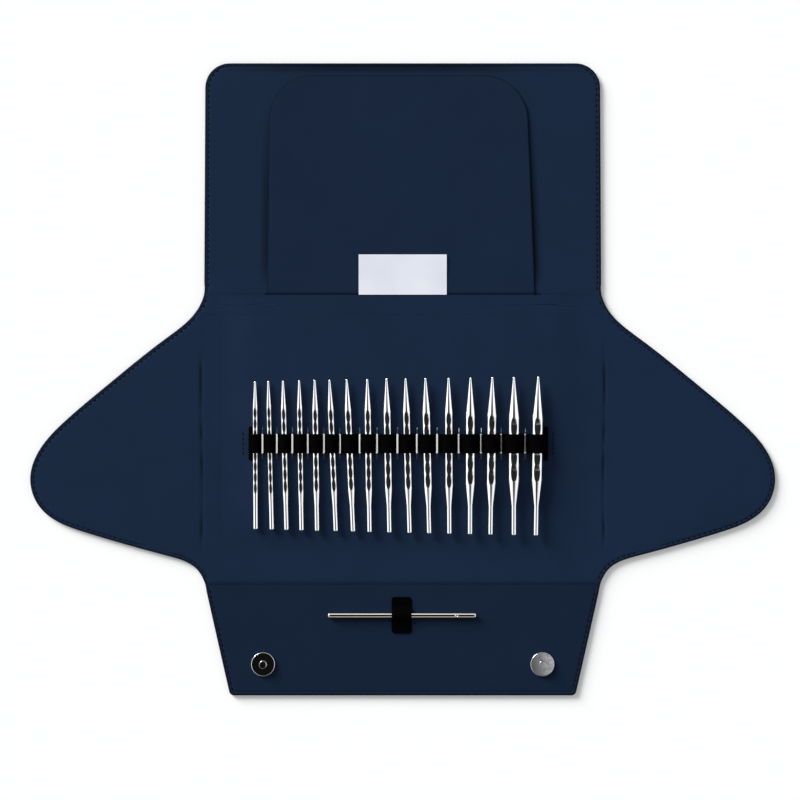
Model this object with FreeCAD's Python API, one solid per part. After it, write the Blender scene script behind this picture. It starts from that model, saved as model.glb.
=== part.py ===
"""Fold-up case for interchangeable knitting needle tips, laid open on its outer cover.

Millimetres. +X is the right-hand wing, +Y the top flap, +Z up. The origin is the middle of the
underside of the centre panel. Every panel is a sandwich of outer cover, board and lining, and each
fold has two creases with a spine strip between them, wide enough for what the closed case holds.
"""
import FreeCAD, Part
import math
import os

from FreeCAD import Vector

# Outline of the open case
flap_half_width = 129.0
crease_half_height = 94.0
wing_reach = 113.3
wing_crease_step = 1.0
top_flap_length = 150.7
top_edge_half_width = 127.0
top_corner_radius = 16.0
bottom_flap_length = 72.4
bottom_edge_half_width = 111.0
bottom_corner_radius = 3.0

# Layers of a panel
cover_thickness = 0.8
board_thickness = 1.0
lining_thickness = 0.8
board_margin = 6.0
crease_gap = 0.3
lay_gap = 0.1
fold_clearance = 0.4
cut_overrun = 1.0

# Pocket under the centre lining, and the tongue and card that come out of it
pocket_depth = 1.0
pocket_seam = 8.0
tongue_half_width = 87.0
tongue_far_half_width = 83.5
tongue_length = 142.5
tongue_thickness = 0.8
tongue_corner_radius = 29.0
tongue_root_length = 22.0
card_width = 57.2
card_length = 26.6
card_thickness = 0.3

# Needle tips
needle_diameters = (3.5, 4.0, 4.5, 5.0, 5.5, 6.0, 7.0, 8.0)
needles_per_size = 2
needle_length_thin = 96.0
needle_length_thick = 103.0
needle_top_thin = 38.0
needle_top_thick = 41.0
needle_lift = 0.3
point_radius = 0.65
shank_diameter = 3.3
shank_edge = 0.3
taper_end_thin_share = 0.18
taper_end_thick_share = 0.27
grip_end_thin_share = 0.76
grip_end_thick_share = 0.65
shank_start_share = 0.83
dimple_pitch = 7.0
dimple_length_share = 0.9
dimple_depth_share = 0.15
dimple_sides = 4

# Elastic band over the needle tips
band_width = 12.4
band_thickness = 0.8
band_left = -100.0
band_length = 194.4
band_middle_y = -2.6
loop_slack = 0.5
slot_length = 22.0
slot_slack = 0.4
needle_place_shares = (0.0224, 0.0706, 0.1197, 0.1722, 0.2241, 0.2789, 0.3365, 0.3993,
                       0.4642, 0.5294, 0.5953, 0.6682, 0.7395, 0.8104, 0.8846, 0.9625)
needle_lean_shares = (0.004, 0.024, 0.024, 0.016, 0.016, 0.042, 0.042, 0.015,
                      0.019, 0.026, 0.024, 0.005, -0.003, -0.012, -0.001, -0.015)
staple_place_shares = (0.0458, 0.0936, 0.1455, 0.1973, 0.2508, 0.3043, 0.3712, 0.4281,
                       0.4967, 0.5619, 0.6288, 0.7013, 0.7759, 0.8428, 0.9231)

# Flat wire staples between the needle tips
staple_width = 1.5
staple_thickness = 0.6
staple_crown_slack = 0.3
staple_reach = 11.0
staple_seat_slack = 0.1
bend_share = 0.8

# Connector rod and its loop
rod_diameter = 3.0
rod_length = 96.2
rod_left = -48.6
rod_y = -114.1
rod_lift = 0.3
rod_end_radius = 0.9
rod_hole_diameter = 1.2
rod_hole_from_end = 12.4
rod_loop_left = -7.6
rod_loop_width = 13.0
rod_loop_half_length = 12.0
rod_loop_slack = 0.4
rod_loop_foot = 5.2

# Magnetic snaps
snap_x = 90.7
snap_y = -145.9
snap_diameter = 15.5
snap_disc_height = 2.0
snap_rim_width = 1.4
snap_dish_depth = 0.6
snap_pin_diameter = 4.6
snap_bore_slack = 0.7
snap_pin_entry = 0.8
snap_pin_edge = 0.5
snap_post_diameter = 3.0
snap_fit = 0.05
washer_diameter = 12.0
washer_thickness = 0.4
magnet_thickness = 0.7

# Edge of the right wing from the top crease round the tip to the bottom crease:
# shares of the wing's reach and of the centre's half height
wing_edge_shares = ((0.0, 1.08), (0.0, 1.02), (0.022, 0.937), (0.068, 0.854), (0.142, 0.771),
                    (0.234, 0.688), (0.578, 0.356), (0.819, 0.107), (0.940, -0.059), (1.0, -0.266),
                    (0.945, -0.468), (0.860, -0.556), (0.693, -0.639), (0.463, -0.722),
                    (0.211, -0.805), (0.045, -0.895), (0.0, -0.985), (-0.013, -1.05))

# Heights of the layers
board_top = cover_thickness + board_thickness
panel_top = board_top + lining_thickness
pocket_top = board_top + pocket_depth
core_top = pocket_top + lining_thickness
tongue_bottom = panel_top + lay_gap
tongue_top = tongue_bottom + tongue_thickness
card_bottom = tongue_top + lay_gap
card_top = card_bottom + card_thickness
top_axis_z = card_top + lay_gap

# Closed stack, from the core up: needles and band, wings, top flap, rod and its loop, bottom flap
band_top = core_top + needle_lift + max(needle_diameters) + loop_slack + band_thickness
wing_spine_width = band_top + fold_clearance - panel_top
wing_outer_z = panel_top + wing_spine_width + panel_top
top_spine_width = wing_outer_z + fold_clearance - top_axis_z - lay_gap
top_outer_z = top_axis_z + top_spine_width + top_axis_z
rod_stack = rod_lift + rod_diameter + rod_loop_slack + band_thickness
bottom_spine_width = top_outer_z + rod_stack + fold_clearance - panel_top
snap_gap = panel_top + bottom_spine_width - top_outer_z

# Crease lines
wing_crease_x = flap_half_width + wing_crease_step
inner_crease_x = wing_crease_x - wing_spine_width
top_crease_y = crease_half_height
top_inner_crease_y = top_crease_y - top_spine_width
bottom_crease_y = -crease_half_height
bottom_inner_crease_y = bottom_crease_y + bottom_spine_width
top_edge_y = top_crease_y + top_flap_length
bottom_edge_y = bottom_crease_y - bottom_flap_length
far_x = flap_half_width + wing_reach + cut_overrun
far_top_y = top_edge_y + cut_overrun
far_bottom_y = bottom_edge_y - cut_overrun

# The sockets lie where the studs arrive when both flaps are folded
snap_closed_y = bottom_inner_crease_y + (bottom_crease_y - snap_y)
socket_y = top_crease_y + (top_inner_crease_y - snap_closed_y)

up = Vector(0, 0, 1)
os.makedirs("parts", exist_ok=True)


def line(a, b):
    return Part.LineSegment(a, b).toShape()


def mirrored(points):
    """The same points on the other side of the middle line, in reverse order."""
    return [Vector(-p.x, p.y, p.z) for p in reversed(points)]


def curve(points):
    spline = Part.BSplineCurve()
    spline.interpolate(points)
    return spline.toShape()


def corner(before, point, after, radius):
    """Start, middle and end of the arc that rounds a corner between two straight edges."""
    way_in = (before - point).normalize()
    way_out = (after - point).normalize()
    half = way_in.getAngle(way_out) / 2
    run = radius / math.tan(half)
    middle = (way_in + way_out).normalize()
    depth = radius / math.sin(half) - radius
    return point + way_in * run, point + middle * depth, point + way_out * run


def case_outline(inset):
    """Face of the whole open case: flaps with rounded corners, wings as one curve each side."""
    half = flap_half_width - inset
    reach = wing_reach - 2 * inset
    top_y = top_edge_y - inset
    bottom_y = bottom_edge_y + inset
    top_right = Vector(top_edge_half_width - inset, top_y, 0)
    bottom_right = Vector(bottom_edge_half_width - inset, bottom_y, 0)
    wing = [Vector(half + reach * x, (crease_half_height - inset) * y, 0) for x, y in wing_edge_shares]
    top_arc = corner(Vector(0, top_y, 0), top_right, wing[0], top_corner_radius)
    bottom_arc = corner(wing[-1], bottom_right, Vector(0, bottom_y, 0), bottom_corner_radius)
    right = [Part.Arc(*top_arc).toShape(),
             line(top_arc[2], wing[0]),
             curve(wing),
             line(wing[-1], bottom_arc[0]),
             Part.Arc(*bottom_arc).toShape()]
    left = [Part.Arc(*mirrored(bottom_arc)).toShape(),
            line(*mirrored([wing[-1], bottom_arc[0]])),
            curve(mirrored(wing)),
            line(*mirrored([top_arc[2], wing[0]])),
            Part.Arc(*mirrored(top_arc)).toShape()]
    bottom = line(bottom_arc[2], mirrored([bottom_arc[2]])[0])
    top = line(mirrored([top_arc[0]])[0], top_arc[0])
    return Part.Face(Part.Wire(right + [bottom] + left + [top]))


def slab(outline, zone, margin, low, high):
    """The part of an outline inside a zone, as a plate from one height to another."""
    x0, x1, y0, y1 = zone
    window = Part.makeBox(x1 - x0 - 2 * margin, y1 - y0 - 2 * margin, high - low,
                          Vector(x0 + margin, y0 + margin, low))
    plate = outline.extrude(up * (high - low))
    plate.translate(up * low)
    return plate.common(window)


def block(x0, x1, y0, y1, z0, z1):
    return Part.makeBox(x1 - x0, y1 - y0, z1 - z0, Vector(x0, y0, z0))


def disc(x, y, diameter, low, high):
    return Part.makeCylinder(diameter / 2, high - low, Vector(x, y, low), up)


def ring(x, y, outer, inner, low, high):
    return disc(x, y, outer, low, high).cut(disc(x, y, inner, low, high))


def both_snaps(make):
    """One shape for each of the two snaps, as a group."""
    return [make(-snap_x), make(snap_x)]


def save(name, shapes):
    """Writes one node; a group of like solids goes into one file."""
    solids = [solid for shape in shapes for solid in shape.Solids]
    node = solids[0] if len(solids) == 1 else Part.makeCompound(solids)
    node.exportStep("parts/" + name + ".step")
    print(name, len(solids), round(node.Volume, 3), node.isValid())


# Panels: every zone is cut from the same outline, with a gap at each crease
core_zone = (-inner_crease_x, inner_crease_x, bottom_inner_crease_y, top_inner_crease_y)
right_spine_zone = (inner_crease_x, wing_crease_x, bottom_inner_crease_y, top_inner_crease_y)
left_spine_zone = (-wing_crease_x, -inner_crease_x, bottom_inner_crease_y, top_inner_crease_y)
right_wing_zone = (wing_crease_x, far_x, bottom_inner_crease_y, top_inner_crease_y)
left_wing_zone = (-far_x, -wing_crease_x, bottom_inner_crease_y, top_inner_crease_y)
top_spine_zone = (-far_x, far_x, top_inner_crease_y, top_crease_y)
top_flap_zone = (-far_x, far_x, top_crease_y, far_top_y)
bottom_spine_zone = (-far_x, far_x, bottom_crease_y, bottom_inner_crease_y)
bottom_flap_zone = (-far_x, far_x, far_bottom_y, bottom_crease_y)
edge = case_outline(0)
board_edge = case_outline(board_margin)


def stiff_panel(zone):
    """Cover with a turned-up rim, and the board that lies in it."""
    board = slab(board_edge, zone, board_margin, cover_thickness, board_top)
    cover = slab(edge, zone, crease_gap, 0, board_top).cut(board)
    return cover, board


def lining_of(zone):
    return slab(edge, zone, crease_gap, board_top, panel_top)


def soft_spine(zone):
    """Spine strip: doubled cover without a board."""
    return slab(edge, zone, crease_gap, 0, board_top)


# Centre panel: the lining is raised over the pocket, which is open towards the top flap
def raised_lining(zone, pocket_low_y):
    pocket_half = inner_crease_x - pocket_seam
    raised = slab(edge, zone, crease_gap, board_top, core_top)
    pocket = block(-pocket_half, pocket_half, pocket_low_y, top_crease_y, board_top, pocket_top)
    return raised.cut(pocket)


band_right = band_left + band_length
slot_half = slot_length / 2


def band_slot(x0, x1):
    return block(x0 - slot_slack, x1 + slot_slack, band_middle_y - slot_half, band_middle_y + slot_half,
                 pocket_top - cut_overrun, core_top + cut_overrun)


core_cover, core_board = stiff_panel(core_zone)
core_lining = raised_lining(core_zone, bottom_inner_crease_y + pocket_seam)
core_lining = core_lining.cut(band_slot(band_left - band_thickness, band_left))
core_lining = core_lining.cut(band_slot(band_right, band_right + band_thickness))
root_low_y = top_inner_crease_y - tongue_root_length
tongue_root = block(-tongue_half_width, tongue_half_width, root_low_y, top_inner_crease_y - crease_gap,
                    board_top, board_top + tongue_thickness)
save("core_cover", [core_cover])
save("core_board", [core_board])
save("core_lining", [core_lining])
save("tongue_root", [tongue_root])

# Wings and their spines
for side, spine_zone, wing_zone in (("left", left_spine_zone, left_wing_zone),
                                    ("right", right_spine_zone, right_wing_zone)):
    wing_cover, wing_board = stiff_panel(wing_zone)
    save(side + "_spine_cover", [soft_spine(spine_zone)])
    save(side + "_spine_lining", [lining_of(spine_zone)])
    save(side + "_wing_cover", [wing_cover])
    save(side + "_wing_board", [wing_board])
    save(side + "_wing_lining", [lining_of(wing_zone)])

# Top spine: the mouth of the pocket, with the neck of the tongue in it
top_neck = block(-tongue_half_width, tongue_half_width, top_inner_crease_y + crease_gap,
                 top_crease_y - crease_gap, board_top, board_top + tongue_thickness)
save("top_spine_cover", [soft_spine(top_spine_zone)])
save("top_spine_lining", [raised_lining(top_spine_zone, bottom_inner_crease_y)])
save("tongue_neck", [top_neck])

# Top flap, with the snap sockets let in flush with the outside
socket_hole = snap_diameter + 2 * snap_fit
socket_bore = snap_pin_diameter + 2 * snap_bore_slack
magnet_top = cover_thickness + magnet_thickness
socket_wells = Part.makeCompound(both_snaps(lambda x: disc(x, socket_y, socket_hole, 0, board_top)))
top_cover, top_board = stiff_panel(top_flap_zone)
save("top_flap_cover", [top_cover.cut(socket_wells)])
save("top_flap_board", [top_board.cut(socket_wells)])
save("top_flap_lining", [lining_of(top_flap_zone)])
save("snap_sockets", both_snaps(
    lambda x: ring(x, socket_y, snap_diameter, socket_bore, 0, cover_thickness)))
save("snap_magnets", both_snaps(
    lambda x: ring(x, socket_y, snap_diameter, socket_bore, cover_thickness, magnet_top)))
save("snap_socket_plates", both_snaps(
    lambda x: disc(x, socket_y, snap_diameter, magnet_top, board_top)))

# Tongue: leather flap with two round corners, hinged at the pocket mouth
tongue_start_y = top_crease_y + crease_gap
tongue_end_y = tongue_start_y + tongue_length
near_right = Vector(tongue_half_width, tongue_start_y, tongue_bottom)
far_right = Vector(tongue_far_half_width, tongue_end_y, tongue_bottom)
far_middle = Vector(0, tongue_end_y, tongue_bottom)
tongue_arc = corner(near_right, far_right, far_middle, tongue_corner_radius)
tongue_wire = Part.Wire([line(near_right, tongue_arc[0]),
                         Part.Arc(*tongue_arc).toShape(),
                         line(tongue_arc[2], mirrored([tongue_arc[2]])[0]),
                         Part.Arc(*mirrored(tongue_arc)).toShape(),
                         line(*mirrored([near_right, tongue_arc[0]])),
                         line(mirrored([near_right])[0], near_right)])
save("tongue", [Part.Face(tongue_wire).extrude(up * tongue_thickness)])

# Card tucked in the mouth, lying on the tongue
card_half = card_width / 2
save("card", [block(-card_half, card_half, tongue_start_y + crease_gap,
                    tongue_start_y + crease_gap + card_length, card_bottom, card_top)])

# Bottom spine and bottom flap, with wells for the prong washers and holes for the snap posts
post_hole = snap_post_diameter + 2 * snap_fit
washer_hole = washer_diameter + 2 * snap_fit
washer_bottom = board_top - washer_thickness
bottom_cover, bottom_board = stiff_panel(bottom_flap_zone)
washer_wells = Part.makeCompound(both_snaps(lambda x: disc(x, snap_y, washer_hole, washer_bottom, board_top)))
post_holes = Part.makeCompound(both_snaps(lambda x: disc(x, snap_y, post_hole, board_top, panel_top)))
save("bottom_spine_cover", [soft_spine(bottom_spine_zone)])
save("bottom_spine_lining", [lining_of(bottom_spine_zone)])
save("bottom_flap_cover", [bottom_cover])
save("bottom_flap_board", [bottom_board.cut(washer_wells)])
save("bottom_flap_lining", [lining_of(bottom_flap_zone).cut(post_holes)])


# Snap studs: dished disc with a raised rim, a centre pin that reaches the socket, and a post below
def snap_stud(x):
    disc_top = panel_top + snap_disc_height
    dish_floor = disc_top - snap_dish_depth
    pin_top = panel_top + snap_gap + snap_pin_entry
    r_out = snap_diameter / 2
    r_dish = r_out - snap_rim_width
    r_pin = snap_pin_diameter / 2
    r_post = snap_post_diameter / 2
    rim_round = snap_rim_width / 2
    outline = [(0, board_top), (r_post, board_top), (r_post, panel_top), (r_out, panel_top),
               (r_out, disc_top - rim_round), (r_out - rim_round, disc_top), (r_dish, disc_top),
               (r_dish - snap_dish_depth, dish_floor), (r_pin, dish_floor),
               (r_pin, pin_top - snap_pin_edge), (r_pin - snap_pin_edge, pin_top), (0, pin_top)]
    points = [Vector(x + r, snap_y, z) for r, z in outline]
    half = Part.Face(Part.makePolygon(points + points[:1]))
    return half.revolve(Vector(x, snap_y, 0), up, 360)


save("snap_studs", both_snaps(snap_stud))
save("snap_stud_washers", both_snaps(
    lambda x: disc(x, snap_y, washer_diameter, washer_bottom, board_top)))


# Needle tips: a point, a long taper, a dimpled grip, a cone and a slim shank
def needle_row():
    """Diameter, length, top, place on the band and lean of each tip, thin to thick."""
    count = len(needle_diameters) * needles_per_size
    for i in range(count):
        share = i / (count - 1)
        yield (needle_diameters[i // needles_per_size],
               needle_length_thin + (needle_length_thick - needle_length_thin) * share,
               needle_top_thin + (needle_top_thick - needle_top_thin) * share,
               band_left + band_length * needle_place_shares[i],
               needle_lean_shares[i])


def dimples(r, low, high):
    """Oval scoops in rows round the grip, each cut by a round bar laid across the tip."""
    rows = max(1, round((high - low) / dimple_pitch))
    pitch = (high - low) / rows
    depth = r * dimple_depth_share
    chord = pitch * dimple_length_share
    scoop = (chord * chord / 4 + depth * depth) / (2 * depth)
    bars = []
    for row in range(rows):
        z = low + pitch * (row + 1 / 2)
        for side in range(dimple_sides):
            turn = 2 * math.pi * side / dimple_sides
            out = Vector(math.cos(turn), math.sin(turn), 0)
            across = Vector(-out.y, out.x, 0)
            middle = out * (r + scoop - depth) + up * z
            bars.append(Part.makeCylinder(scoop, 2 * r, middle - across * r, across))
    return bars


def needle_tip(diameter, length):
    """A tip standing on its point at the origin, with its axis along +Z."""
    r = diameter / 2
    thick_share = (diameter - min(needle_diameters)) / (max(needle_diameters) - min(needle_diameters))
    grip_end_share = grip_end_thin_share + (grip_end_thick_share - grip_end_thin_share) * thick_share
    taper_end = length * (taper_end_thin_share + (taper_end_thick_share - taper_end_thin_share) * thick_share)
    grip_end = length * grip_end_share
    r_shank = min(shank_diameter / 2, r)
    cap_half = point_radius * math.sqrt(0.5)
    start = Vector(0, 0, 0)
    cap_end = Vector(point_radius, 0, point_radius)
    cap = Part.Arc(start, Vector(cap_half, 0, point_radius - cap_half), cap_end).toShape()
    corners = [cap_end, Vector(r, 0, taper_end), Vector(r, 0, grip_end),
               Vector(r_shank, 0, length * shank_start_share), Vector(r_shank, 0, length - shank_edge),
               Vector(r_shank - shank_edge, 0, length), Vector(0, 0, length), start]
    sides = [line(a, b) for a, b in zip(corners, corners[1:])]
    body = Part.Face(Part.Wire([cap] + sides)).revolve(start, up, 360)
    return body.cut(Part.makeCompound(dimples(r, taper_end, grip_end)))


arches = []
for number, (diameter, length, top_y, place_x, lean) in enumerate(needle_row(), 1):
    tip = needle_tip(diameter, length)
    axis_z = core_top + needle_lift + diameter / 2
    way = Vector(lean, -1, 0).normalize()
    top_x = place_x - lean * (top_y - band_middle_y)
    tip.Placement = FreeCAD.Placement(Vector(top_x, top_y, axis_z), FreeCAD.Rotation(up, way))
    arches.append((place_x, needle_lift + diameter / 2, diameter / 2 + loop_slack))
    save("needle_tip_%02d" % number, [tip])


# Elastic bands: straight from the lining up to each round piece, over it and down again
def band_face(arches, feet, start, end, leg, place):
    """Section of a band of even thickness.

    Each arch is (place, height, radius) of the round inside of a loop, and feet are the two
    places where it meets the lining. A leg of some depth turns down at each end.
    """
    lower = [line(place(start, -leg), place(start, 0))] if leg else []
    upper = [line(place(start - band_thickness, -leg), place(start - band_thickness, band_thickness))] if leg else []
    low_at = start
    high_at = start - band_thickness if leg else start
    for (middle, height, radius), (left_foot, right_foot) in zip(arches, feet):
        rise = []
        for foot in (middle - left_foot, right_foot - middle):
            angle = math.atan2(height, foot) + math.asin(radius / math.hypot(foot, height))
            outer = radius + band_thickness
            touch = (radius * math.sin(angle), height + radius * math.cos(angle))
            over = (outer * math.sin(angle), height + outer * math.cos(angle))
            knee = over[0] + (over[1] - band_thickness) / math.tan(angle)
            rise.append((touch, over, knee))
        (touch_l, over_l, knee_l), (touch_r, over_r, knee_r) = rise
        lower.append(line(place(low_at, 0), place(left_foot, 0)))
        lower.append(line(place(left_foot, 0), place(middle - touch_l[0], touch_l[1])))
        lower.append(Part.Arc(place(middle - touch_l[0], touch_l[1]), place(middle, height + radius),
                              place(middle + touch_r[0], touch_r[1])).toShape())
        lower.append(line(place(middle + touch_r[0], touch_r[1]), place(right_foot, 0)))
        upper.append(line(place(high_at, band_thickness), place(middle - knee_l, band_thickness)))
        upper.append(line(place(middle - knee_l, band_thickness), place(middle - over_l[0], over_l[1])))
        upper.append(Part.Arc(place(middle - over_l[0], over_l[1]),
                              place(middle, height + radius + band_thickness),
                              place(middle + over_r[0], over_r[1])).toShape())
        upper.append(line(place(middle + over_r[0], over_r[1]), place(middle + knee_r, band_thickness)))
        low_at = right_foot
        high_at = middle + knee_r
    lower.append(line(place(low_at, 0), place(end, 0)))
    if leg:
        lower.append(line(place(end, 0), place(end, -leg)))
        upper.append(line(place(high_at, band_thickness), place(end + band_thickness, band_thickness)))
        upper.append(line(place(end + band_thickness, band_thickness), place(end + band_thickness, -leg)))
    else:
        upper.append(line(place(high_at, band_thickness), place(end, band_thickness)))
    ends = [line(lower[0].Vertexes[0].Point, upper[0].Vertexes[0].Point),
            line(lower[-1].Vertexes[1].Point, upper[-1].Vertexes[1].Point)]
    return Part.Face(Part.Wire(Part.__sortEdges__(lower + upper + ends)))


staple_places = [band_left + band_length * share for share in staple_place_shares]
flat_half = staple_width / 2 + staple_seat_slack + band_thickness * bend_share
left_feet = [band_left] + [x + flat_half for x in staple_places]
right_feet = [x - flat_half for x in staple_places] + [band_right]
band_low_y = band_middle_y - band_width / 2
needle_band = band_face(arches, list(zip(left_feet, right_feet)), band_left - lay_gap, band_right + lay_gap,
                        lining_thickness, lambda u, w: Vector(u, band_low_y, core_top + w))
save("needle_elastic", [needle_band.extrude(Vector(0, band_width, 0))])


# Staples: a straight crown over the band, and two legs that slope down to the lining
def staple(x):
    crown_half = band_width / 2 + staple_crown_slack
    seat = core_top + band_thickness
    crown_top = seat + staple_thickness
    toe = staple_reach - staple_thickness
    right = [(toe, core_top), (staple_reach, core_top), (crown_half + staple_thickness / 2, crown_top)]
    left = [(-y, z) for y, z in reversed(right)]
    inside = [(-crown_half, seat), (crown_half, seat)]
    points = [Vector(x - staple_width / 2, band_middle_y + y, z) for y, z in inside + right + left]
    return Part.Face(Part.makePolygon(points + points[:1])).extrude(Vector(staple_width, 0, 0))


save("elastic_staples", [staple(x) for x in staple_places])

# Connector rod with rounded ends and a cross hole
rod_radius = rod_diameter / 2
rod_z = panel_top + rod_lift + rod_radius
rod = Part.makeCylinder(rod_radius, rod_length, Vector(rod_left, rod_y, rod_z), Vector(1, 0, 0))
rod = rod.makeFillet(rod_end_radius, [e for e in rod.Edges if e.Curve.TypeId == "Part::GeomCircle"])
hole_x = rod_left + rod_length - rod_hole_from_end
rod = rod.cut(disc(hole_x, rod_y, rod_hole_diameter, rod_z - rod_diameter, rod_z + rod_diameter))
save("connector_rod", [rod])

# Loop over the rod, sewn flat to the lining at both ends
rod_arch = [(rod_y, rod_lift + rod_radius, rod_radius + rod_loop_slack)]
rod_feet = [(rod_y - rod_loop_foot, rod_y + rod_loop_foot)]
rod_band = band_face(rod_arch, rod_feet, rod_y - rod_loop_half_length, rod_y + rod_loop_half_length, 0,
                     lambda u, w: Vector(rod_loop_left, u, panel_top + w))
save("rod_loop", [rod_band.extrude(Vector(rod_loop_width, 0, 0))])

print("creases", inner_crease_x, wing_crease_x, bottom_inner_crease_y, top_inner_crease_y)
print("axis heights", panel_top, top_axis_z, "socket y", socket_y, "snap gap", snap_gap)
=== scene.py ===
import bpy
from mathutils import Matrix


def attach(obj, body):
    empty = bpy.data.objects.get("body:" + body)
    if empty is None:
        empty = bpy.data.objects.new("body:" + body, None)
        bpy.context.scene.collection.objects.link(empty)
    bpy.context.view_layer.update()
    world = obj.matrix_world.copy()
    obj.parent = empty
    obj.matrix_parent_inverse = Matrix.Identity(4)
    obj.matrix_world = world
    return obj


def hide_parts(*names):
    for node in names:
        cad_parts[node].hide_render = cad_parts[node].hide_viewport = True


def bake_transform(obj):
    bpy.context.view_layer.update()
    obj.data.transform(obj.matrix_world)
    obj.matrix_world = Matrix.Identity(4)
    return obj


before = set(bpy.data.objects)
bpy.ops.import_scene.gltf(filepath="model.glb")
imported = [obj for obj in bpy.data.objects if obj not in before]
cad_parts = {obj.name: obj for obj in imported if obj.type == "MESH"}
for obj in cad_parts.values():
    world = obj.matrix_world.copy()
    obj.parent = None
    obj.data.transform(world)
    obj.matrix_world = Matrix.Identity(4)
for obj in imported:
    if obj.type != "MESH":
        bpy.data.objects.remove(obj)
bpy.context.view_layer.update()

import math
import bmesh
import bpy
import numpy as np

# Case panels
# Navy leatherette over greyboard: the cover is turned round the edge of the board and sewn to the lining
# a little way in. Every panel between two creases is one closed skin, lining above and cover below.
mm = 0.001
panel_top = 2.6
core_top = 3.6
wing_inner = 119
wing_outer = 130
top_inner = 81.5
top_outer = 94
top_edge = 244.7
bottom_inner = -71.2
bottom_outer = -94
bottom_edge = -166.4
beyond = 300
furrow_inset = 2.4
crease_overlap = 0.27
crease_near = 0.7
outline_step = 1.5
inside_rim = 20.0
skin_navy = (0.0082, 0.0187, 0.0448, 1.0)
skin_navy_pale = (0.0090, 0.0205, 0.0486, 1.0)
# Painted shade: near-black navy for the shade along the turned edges, in the creases and beside the tongue;
# it also darkens bands near the ends of the case.
painted_shade_navy = (0.0010, 0.0020, 0.0048, 1.0)


class Wire:
    """One socket of a material's nodes; sums, differences, products and quotients of wires add Math nodes."""

    def __init__(self, tree, socket=None):
        self.tree = tree
        self.socket = socket

    def put(self, kind, settings, sockets, out=0):
        """Adds a node: its settings first, then the value or the link of each socket."""
        made = self.tree.nodes.new("ShaderNode" + kind)
        for name, value in settings.items():
            setattr(made, name, value)
        for name, value in sockets.items():
            if isinstance(value, Wire):
                self.tree.links.new(value.socket, made.inputs[name])
            else:
                made.inputs[name].default_value = value
        return Wire(self.tree, made.outputs[out])

    def math(self, operation, *values):
        """The result of a Math node on wires and numbers."""
        return self.put("Math", {"operation": operation}, dict(enumerate(values)))

    def __add__(self, other):
        return self.math("ADD", self, other)

    def __sub__(self, other):
        return self.math("SUBTRACT", self, other)

    def __rsub__(self, other):
        return self.math("SUBTRACT", other, self)

    def __mul__(self, other):
        return self.math("MULTIPLY", self, other)

    def __truediv__(self, other):
        return self.math("DIVIDE", self, other)

    __radd__ = __add__
    __rmul__ = __mul__

    def step(self, low, high):
        """0 below low, 1 above high and a smooth rise between them."""
        return self.put("MapRange", {"interpolation_type": "SMOOTHSTEP"}, {0: self, 1: low, 2: high})

    def mix(self, first, second):
        """The first colour where this wire is 0, the second where it is 1."""
        return self.put("Mix", {"data_type": "RGBA"}, {0: self, 6: first, 7: second}, out=2)

    def noise(self, scale, detail=3.0):
        """Even noise between 0 and 1, with scale in repeats per metre of this wire's coordinates."""
        given = {"Vector": self, "Scale": scale, "Detail": detail, "Roughness": 0.55}
        return self.put("TexNoise", {}, given)

    def to(self, shader, socket):
        """Links this wire to a socket of a shader."""
        self.tree.links.new(self.socket, shader.inputs[socket])


def finish(name, **constants):
    """A material with one Principled shader, whose even values go straight onto its sockets."""
    made = bpy.data.materials.new(name)
    made.use_nodes = True
    shader = made.node_tree.nodes["Principled BSDF"]
    for key, value in constants.items():
        shader.inputs[key.replace("_", " ")].default_value = value
    return made, Wire(made.node_tree), shader


def leatherette(name, grain, rim_width, shade, depth=1.0, mark=None):
    """Coated cloth: fine pebbled grain and soft clouds of paler and deeper navy, with painted shade of a much
    deeper tone along the turned edges. A mark is a function of the place that adds more of that painted
    shade."""
    made, start, shader = finish(name, Specular_IOR_Level=0.05, IOR=1.45)
    place = start.put("TexCoord", {}, {}, out=3)
    rim = start.put("Attribute", {"attribute_name": "rim"}, {}, out=2)
    clouds = place.noise(9.0, 2.0)
    mottle = place.noise(60.0, 3.0)
    pebble = start.put("TexVoronoi", {"feature": "F1"}, {"Vector": place, "Scale": 1 / (grain * mm)})
    tone = (clouds * 0.7 + mottle * 0.3).step(0.36, 0.64)
    plain, pale = (tuple(c * depth for c in navy[:3]) + (1.0,) for navy in (skin_navy, skin_navy_pale))
    colour = tone.mix(plain, pale)
    # Painted shade: the turned edges, and whatever a mark adds, go towards the near-black navy.
    edge = (1.0 - rim.step(rim_width * 0.15, rim_width)) * shade
    if mark:
        edge = start.math("MAXIMUM", edge, mark(place))
    edge.mix(colour, painted_shade_navy).to(shader, "Base Color")
    (0.5 + mottle * 0.16 - clouds * 0.06).to(shader, "Roughness")
    height = pebble * 0.6 + place.noise(900.0, 2.0) * 0.4
    start.put("Bump", {}, {"Strength": 0.16, "Distance": 0.0002, "Height": height}).to(shader, "Normal")
    return made


def merged(mesh, points, quads, values):
    """Fills a mesh with quads, closes seams and poles where points meet, and turns the faces outwards."""
    corner = points[quads]
    volume = np.einsum("ij,ij->", corner[:, 0], np.cross(corner[:, 1], corner[:, 2]))
    volume += np.einsum("ij,ij->", corner[:, 0], np.cross(corner[:, 2], corner[:, 3]))
    mesh.from_pydata(points.tolist(), [], (quads if volume > 0 else quads[:, ::-1]).tolist())
    for name, value in values.items():
        layer = mesh.attributes.new(name, "FLOAT", "POINT")
        layer.data.foreach_set("value", np.ravel(value).astype(np.float32))
    cage = bmesh.new()
    cage.from_mesh(mesh)
    bmesh.ops.remove_doubles(cage, verts=cage.verts, dist=1e-7)
    bmesh.ops.dissolve_degenerate(cage, edges=cage.edges, dist=1e-7)
    cage.to_mesh(mesh)
    cage.free()
    mesh.polygons.foreach_set("use_smooth", np.ones(len(mesh.polygons), bool))
    return mesh


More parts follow.
